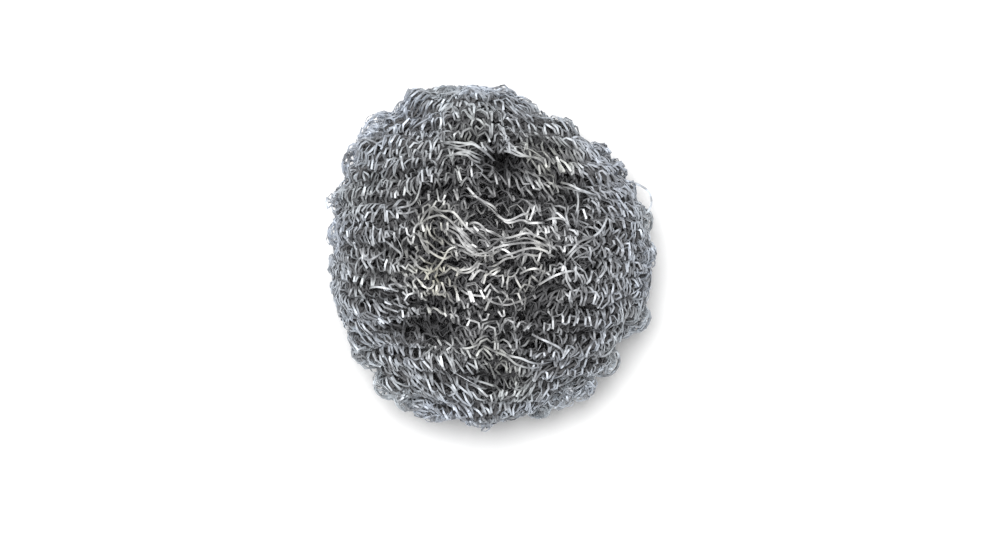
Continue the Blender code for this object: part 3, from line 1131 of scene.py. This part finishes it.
class SCOURER_OT_set_stage(bpy.types.Operator):
    """Adds the pale floor, the soft studio light and the camera that looks straight down"""

    bl_idname = "scourer.set_stage"
    bl_label = "Set the stage"

    FLOOR_SIZE = 6.0
    FLOOR_GLOW = 0.02
    GLOW_START = 0.15  # from the middle of the floor
    GLOW_END = 0.8
    LAMP_SIZE = 0.95
    LAMP_PLACE = (-0.15, 0.27, 1.30)

    def execute(self, context):
        self.add_floor()
        self.add_light()
        self.add_camera()
        context.scene.view_settings.view_transform = "Standard"
        return {"FINISHED"}

    def add_floor(self):
        """Lays a sheet of matt white paper, which takes the shadow and reflects nothing sharply."""
        mesh = bpy.data.meshes.new("floor")
        sheet = bmesh.new()
        bmesh.ops.create_grid(sheet, x_segments=1, y_segments=1, size=self.FLOOR_SIZE / 2)
        sheet.to_mesh(mesh)
        sheet.free()
        material = bpy.data.materials.new("matt_white_paper")
        material.use_nodes = True
        tree = material.node_tree
        shader = tree.nodes["Principled BSDF"]
        shader.inputs["Base Color"].default_value = (*stage_settings().floor, 1)
        shader.inputs["Roughness"].default_value = 1.0
        shader.inputs["Specular IOR Level"].default_value = 0.0
        # A glow that only the camera sees fades the shadow's faint edge and the far floor into white
        shader.inputs["Emission Color"].default_value = (1, 1, 1, 1)
        place = add_node(tree, "ShaderNodeTexCoord").outputs["Object"]
        away = add_node(tree, "ShaderNodeVectorMath", {"operation": "LENGTH"}, links={0: place})
        growing = add_node(
            tree,
            "ShaderNodeMapRange",
            {"interpolation_type": "SMOOTHSTEP"},
            {1: self.GLOW_START, 2: self.GLOW_END, 3: self.FLOOR_GLOW, 4: 1.0},
            {0: away.outputs["Value"]},
        )
        ray = add_node(tree, "ShaderNodeLightPath")
        glow = add_node(
            tree,
            "ShaderNodeMath",
            {"operation": "MULTIPLY"},
            links={0: growing.outputs[0], 1: ray.outputs["Is Camera Ray"]},
        )
        tree.links.new(glow.outputs[0], shader.inputs["Emission Strength"])
        mesh.materials.append(material)
        add_object("floor", mesh)

    def add_light(self):
        """Hangs one large soft lamp, with even light all round. What looks past the floor sees white."""
        lamp = bpy.data.lights.new("soft_lamp", "AREA")
        lamp.shape = "DISK"
        lamp.size = self.LAMP_SIZE
        lamp.energy = stage_settings().key_power
        holder = add_object("soft_lamp", lamp)
        holder.location = self.LAMP_PLACE
        holder.rotation_euler = (-Vector(self.LAMP_PLACE)).to_track_quat("-Z", "Y").to_euler()
        world = bpy.data.worlds.new("even_light")
        world.use_nodes = True
        tree = world.node_tree
        background = tree.nodes["Background"]
        background.inputs["Color"].default_value = (1, 1, 1, 1)
        ray = add_node(tree, "ShaderNodeLightPath")
        shown = ray.outputs["Is Camera Ray"]
        for kind in ("Is Glossy Ray", "Is Transmission Ray"):
            either = {0: shown, 1: ray.outputs[kind]}
            shown = add_node(tree, "ShaderNodeMath", {"operation": "MAXIMUM"}, links=either).outputs[0]
        strength = add_node(
            tree,
            "ShaderNodeMix",
            values={2: stage_settings().sky_strength, 3: 1.0},
            links={0: shown},
        )
        tree.links.new(strength.outputs[0], background.inputs["Strength"])
        bpy.context.scene.world = world

    def add_camera(self):
        """Sets the camera straight above, with the photograph's frame."""
        lens = bpy.data.cameras.new("camera")
        lens.lens = LENS_MM
        lens.sensor_width = SENSOR_MM
        lens.sensor_fit = "HORIZONTAL"
        camera = add_object("camera", lens)
        camera.location = (*PHOTO_MIDDLE, PHOTO_PLANE + PHOTO_WIDTH * LENS_MM / SENSOR_MM)
        bpy.context.scene.camera = camera


class SCOURER_PT_sidebar(bpy.types.Panel):
    """Lists what makes the scourer"""

    bl_idname = "SCOURER_PT_sidebar"
    bl_label = "Knitted wire scourer"
    bl_space_type = "VIEW_3D"
    bl_region_type = "UI"
    bl_category = "Scourer"

    def draw(self, context):
        layout = self.layout
        for settings in (context.scene.scourer_wire, context.scene.scourer_stage):
            box = layout.box()
            for name in settings.__annotations__:
                box.prop(settings, name)
        for operator in OPERATORS:
            layout.operator(operator.bl_idname)


OPERATORS = (
    SCOURER_OT_knit_sleeve,
    SCOURER_OT_knit_inner_turns,
    SCOURER_OT_lay_loose_strands,
    SCOURER_OT_scatter_stray_wires,
    SCOURER_OT_edge_the_rim,
    SCOURER_OT_set_stage,
)
CLASSES = (WireSettings, StageSettings, *OPERATORS, SCOURER_PT_sidebar)


def register():
    for item in CLASSES:
        bpy.utils.register_class(item)
    bpy.types.Scene.scourer_wire = PointerProperty(type=WireSettings)
    bpy.types.Scene.scourer_stage = PointerProperty(type=StageSettings)


def unregister():
    del bpy.types.Scene.scourer_stage
    del bpy.types.Scene.scourer_wire
    for item in reversed(CLASSES):
        bpy.utils.unregister_class(item)


def main():
    register()
    bpy.ops.scourer.knit_sleeve()
    bpy.ops.scourer.knit_inner_turns()
    bpy.ops.scourer.lay_loose_strands()
    bpy.ops.scourer.scatter_stray_wires()
    bpy.ops.scourer.edge_the_rim()
    bpy.ops.scourer.set_stage()


if __name__ == "__main__":
    main()
